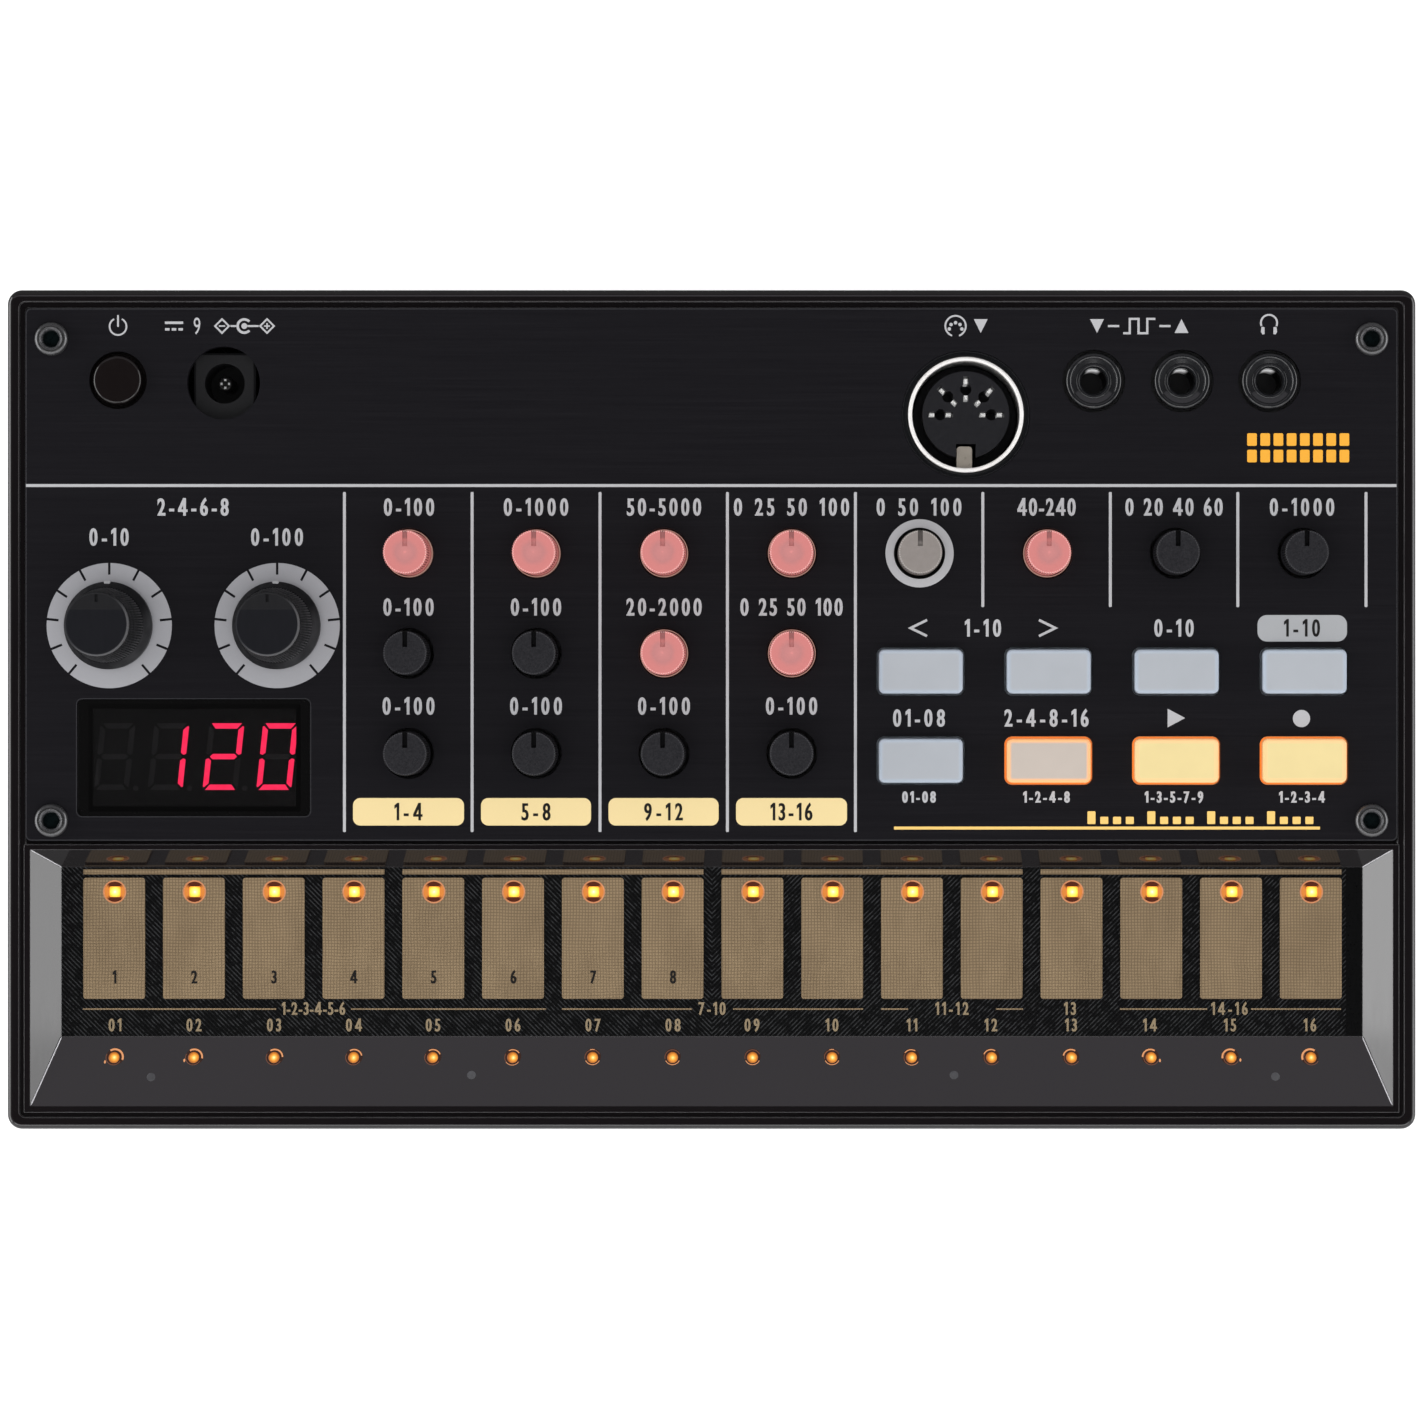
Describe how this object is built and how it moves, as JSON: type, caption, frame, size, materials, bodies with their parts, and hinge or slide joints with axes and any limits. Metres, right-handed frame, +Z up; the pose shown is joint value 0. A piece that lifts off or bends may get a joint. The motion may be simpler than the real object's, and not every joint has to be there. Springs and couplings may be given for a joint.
{
  "type": "drum machine",
  "caption": "Slim rectangular drum machine: metal control panel with dials, small knobs, lit buttons, display and sockets over a sunken strip of touch pads.",
  "frame": {"origin": "centre of the footprint, on the plane that the rubber feet stand on", "axes": "+X to the player's right, along the longest side; +Y to the back, away from the touch strip; +Z up out of the control panel"},
  "size_m": [0.193, 0.115, 0.046],
  "materials": {
    "shell": "gloss",
    "shell_lower": "satin",
    "panel_metal": "brushed",
    "screw_steel": "polished",
    "rubber": "matte",
    "circuit_board": "satin",
    "pad_gold": "satin",
    "lamp": "gloss",
    "smoked_lens": "gloss",
    "display_grey": "matte",
    "jack_plastic": "satin",
    "contact_metal": "polished",
    "nickel": "polished",
    "part_plastic": "matte",
    "flex": "satin",
    "cell_jacket": "satin",
    "speaker_steel": "matte",
    "knob_red": "gloss",
    "knob_clear": "gloss",
    "knob_black": "satin",
    "dial_black": "gloss",
    "button_grey": "satin",
    "button_warm": "satin",
    "button_lit": "satin",
    "power_black": "gloss"
  },
  "bodies": {
    "housing": {"top_case": "shell", "bottom_case": "shell_lower", "front_panel": "panel_metal", "panel_screws": "screw_steel", "case_screws": "screw_steel", "board_screws": "screw_steel", "rubber_feet": "rubber", "main_board": "circuit_board", "touch_board": "circuit_board", "touch_pads": "pad_gold", "step_led_rings": "contact_metal", "step_leds": "lamp", "display_window": "smoked_lens", "display_module": "display_grey", "dc_jack": "jack_plastic", "dc_jack_pin": "nickel", "midi_shell": "nickel", "midi_insert": "jack_plastic", "midi_contacts": "contact_metal", "jack_collars": "jack_plastic", "jack_bodies": "part_plastic", "small_pots": "part_plastic", "dial_pots": "part_plastic", "button_switches": "part_plastic", "power_switch": "part_plastic", "backlight_leds": "lamp", "ribbon_cable": "flex", "speaker": "speaker_steel", "battery_cells": "cell_jacket", "battery_terminals": "nickel"},
    "dial_left": {"dial_left": "dial_black", "dial_shaft_left": "nickel"},
    "dial_right": {"dial_right": "dial_black", "dial_shaft_right": "nickel"},
    "knob_r1c1": {"knob_r1c1": "knob_red"},
    "knob_r1c2": {"knob_r1c2": "knob_red"},
    "knob_r1c3": {"knob_r1c3": "knob_red"},
    "knob_r1c4": {"knob_r1c4": "knob_red"},
    "knob_r1c5": {"knob_r1c5": "knob_clear"},
    "knob_r1c6": {"knob_r1c6": "knob_red"},
    "knob_r1c7": {"knob_r1c7": "knob_black"},
    "knob_r1c8": {"knob_r1c8": "knob_black"},
    "knob_r2c1": {"knob_r2c1": "knob_black"},
    "knob_r2c2": {"knob_r2c2": "knob_black"},
    "knob_r2c3": {"knob_r2c3": "knob_red"},
    "knob_r2c4": {"knob_r2c4": "knob_red"},
    "knob_r3c1": {"knob_r3c1": "knob_black"},
    "knob_r3c2": {"knob_r3c2": "knob_black"},
    "knob_r3c3": {"knob_r3c3": "knob_black"},
    "knob_r3c4": {"knob_r3c4": "knob_black"},
    "button_r1c1": {"button_r1c1": "button_grey"},
    "button_r1c2": {"button_r1c2": "button_grey"},
    "button_r1c3": {"button_r1c3": "button_grey"},
    "button_r1c4": {"button_r1c4": "button_grey"},
    "button_r2c1": {"button_r2c1": "button_grey"},
    "button_r2c2": {"button_r2c2": "button_warm"},
    "button_r2c3": {"button_r2c3": "button_lit"},
    "button_r2c4": {"button_r2c4": "button_lit"},
    "power_button": {"power_button": "power_black"},
    "battery_cover": {"battery_cover": "shell_lower"}
  },
  "joints": [
    {"name": "dial_left_turn", "type": "hinge", "parent": "housing", "child": "dial_left", "pos_m": [-0.0825, 0.0115, 0.033], "axis": [0, 0, 1], "range_deg": [-140, 140]},
    {"name": "dial_right_turn", "type": "hinge", "parent": "housing", "child": "dial_right", "pos_m": [-0.0595, 0.0115, 0.033], "axis": [0, 0, 1], "range_deg": [-140, 140]},
    {"name": "knob_r1c1_turn", "type": "hinge", "parent": "housing", "child": "knob_r1c1", "pos_m": [-0.0415, 0.0214, 0.033], "axis": [0, 0, 1], "range_deg": [-140, 140]},
    {"name": "knob_r1c2_turn", "type": "hinge", "parent": "housing", "child": "knob_r1c2", "pos_m": [-0.024, 0.0214, 0.033], "axis": [0, 0, 1], "range_deg": [-140, 140]},
    {"name": "knob_r1c3_turn", "type": "hinge", "parent": "housing", "child": "knob_r1c3", "pos_m": [-0.0065, 0.0214, 0.033], "axis": [0, 0, 1], "range_deg": [-140, 140]},
    {"name": "knob_r1c4_turn", "type": "hinge", "parent": "housing", "child": "knob_r1c4", "pos_m": [0.011, 0.0214, 0.033], "axis": [0, 0, 1], "range_deg": [-140, 140]},
    {"name": "knob_r1c5_turn", "type": "hinge", "parent": "housing", "child": "knob_r1c5", "pos_m": [0.0285, 0.0214, 0.033], "axis": [0, 0, 1], "range_deg": [-140, 140]},
    {"name": "knob_r1c6_turn", "type": "hinge", "parent": "housing", "child": "knob_r1c6", "pos_m": [0.046, 0.0214, 0.033], "axis": [0, 0, 1], "range_deg": [-140, 140]},
    {"name": "knob_r1c7_turn", "type": "hinge", "parent": "housing", "child": "knob_r1c7", "pos_m": [0.0635, 0.0214, 0.033], "axis": [0, 0, 1], "range_deg": [-140, 140]},
    {"name": "knob_r1c8_turn", "type": "hinge", "parent": "housing", "child": "knob_r1c8", "pos_m": [0.081, 0.0214, 0.033], "axis": [0, 0, 1], "range_deg": [-140, 140]},
    {"name": "knob_r2c1_turn", "type": "hinge", "parent": "housing", "child": "knob_r2c1", "pos_m": [-0.0415, 0.0077, 0.033], "axis": [0, 0, 1], "range_deg": [-140, 140]},
    {"name": "knob_r2c2_turn", "type": "hinge", "parent": "housing", "child": "knob_r2c2", "pos_m": [-0.024, 0.0077, 0.033], "axis": [0, 0, 1], "range_deg": [-140, 140]},
    {"name": "knob_r2c3_turn", "type": "hinge", "parent": "housing", "child": "knob_r2c3", "pos_m": [-0.0065, 0.0077, 0.033], "axis": [0, 0, 1], "range_deg": [-140, 140]},
    {"name": "knob_r2c4_turn", "type": "hinge", "parent": "housing", "child": "knob_r2c4", "pos_m": [0.011, 0.0077, 0.033], "axis": [0, 0, 1], "range_deg": [-140, 140]},
    {"name": "knob_r3c1_turn", "type": "hinge", "parent": "housing", "child": "knob_r3c1", "pos_m": [-0.0415, -0.006, 0.033], "axis": [0, 0, 1], "range_deg": [-140, 140]},
    {"name": "knob_r3c2_turn", "type": "hinge", "parent": "housing", "child": "knob_r3c2", "pos_m": [-0.024, -0.006, 0.033], "axis": [0, 0, 1], "range_deg": [-140, 140]},
    {"name": "knob_r3c3_turn", "type": "hinge", "parent": "housing", "child": "knob_r3c3", "pos_m": [-0.0065, -0.006, 0.033], "axis": [0, 0, 1], "range_deg": [-140, 140]},
    {"name": "knob_r3c4_turn", "type": "hinge", "parent": "housing", "child": "knob_r3c4", "pos_m": [0.011, -0.006, 0.033], "axis": [0, 0, 1], "range_deg": [-140, 140]},
    {"name": "button_r1c1_press", "type": "slide", "parent": "housing", "child": "button_r1c1", "axis": [0, 0, -1], "range_m": [0, 0.0008], "stiffness_N_per_m": 500, "springref_m": -0.0005},
    {"name": "button_r1c2_press", "type": "slide", "parent": "housing", "child": "button_r1c2", "axis": [0, 0, -1], "range_m": [0, 0.0008], "stiffness_N_per_m": 500, "springref_m": -0.0005},
    {"name": "button_r1c3_press", "type": "slide", "parent": "housing", "child": "button_r1c3", "axis": [0, 0, -1], "range_m": [0, 0.0008], "stiffness_N_per_m": 500, "springref_m": -0.0005},
    {"name": "button_r1c4_press", "type": "slide", "parent": "housing", "child": "button_r1c4", "axis": [0, 0, -1], "range_m": [0, 0.0008], "stiffness_N_per_m": 500, "springref_m": -0.0005},
    {"name": "button_r2c1_press", "type": "slide", "parent": "housing", "child": "button_r2c1", "axis": [0, 0, -1], "range_m": [0, 0.0008], "stiffness_N_per_m": 500, "springref_m": -0.0005},
    {"name": "button_r2c2_press", "type": "slide", "parent": "housing", "child": "button_r2c2", "axis": [0, 0, -1], "range_m": [0, 0.0008], "stiffness_N_per_m": 500, "springref_m": -0.0005},
    {"name": "button_r2c3_press", "type": "slide", "parent": "housing", "child": "button_r2c3", "axis": [0, 0, -1], "range_m": [0, 0.0008], "stiffness_N_per_m": 500, "springref_m": -0.0005},
    {"name": "button_r2c4_press", "type": "slide", "parent": "housing", "child": "button_r2c4", "axis": [0, 0, -1], "range_m": [0, 0.0008], "stiffness_N_per_m": 500, "springref_m": -0.0005},
    {"name": "power_button_press", "type": "slide", "parent": "housing", "child": "power_button", "axis": [0, 0, -1], "range_m": [0, 0.0012], "stiffness_N_per_m": 500, "springref_m": -0.0005},
    {"name": "battery_cover_open", "type": "hinge", "parent": "housing", "child": "battery_cover", "pos_m": [-0.0365, 0.0229, 0.0024], "axis": [1, 0, 0], "range_deg": [0, 75]}
  ]
}
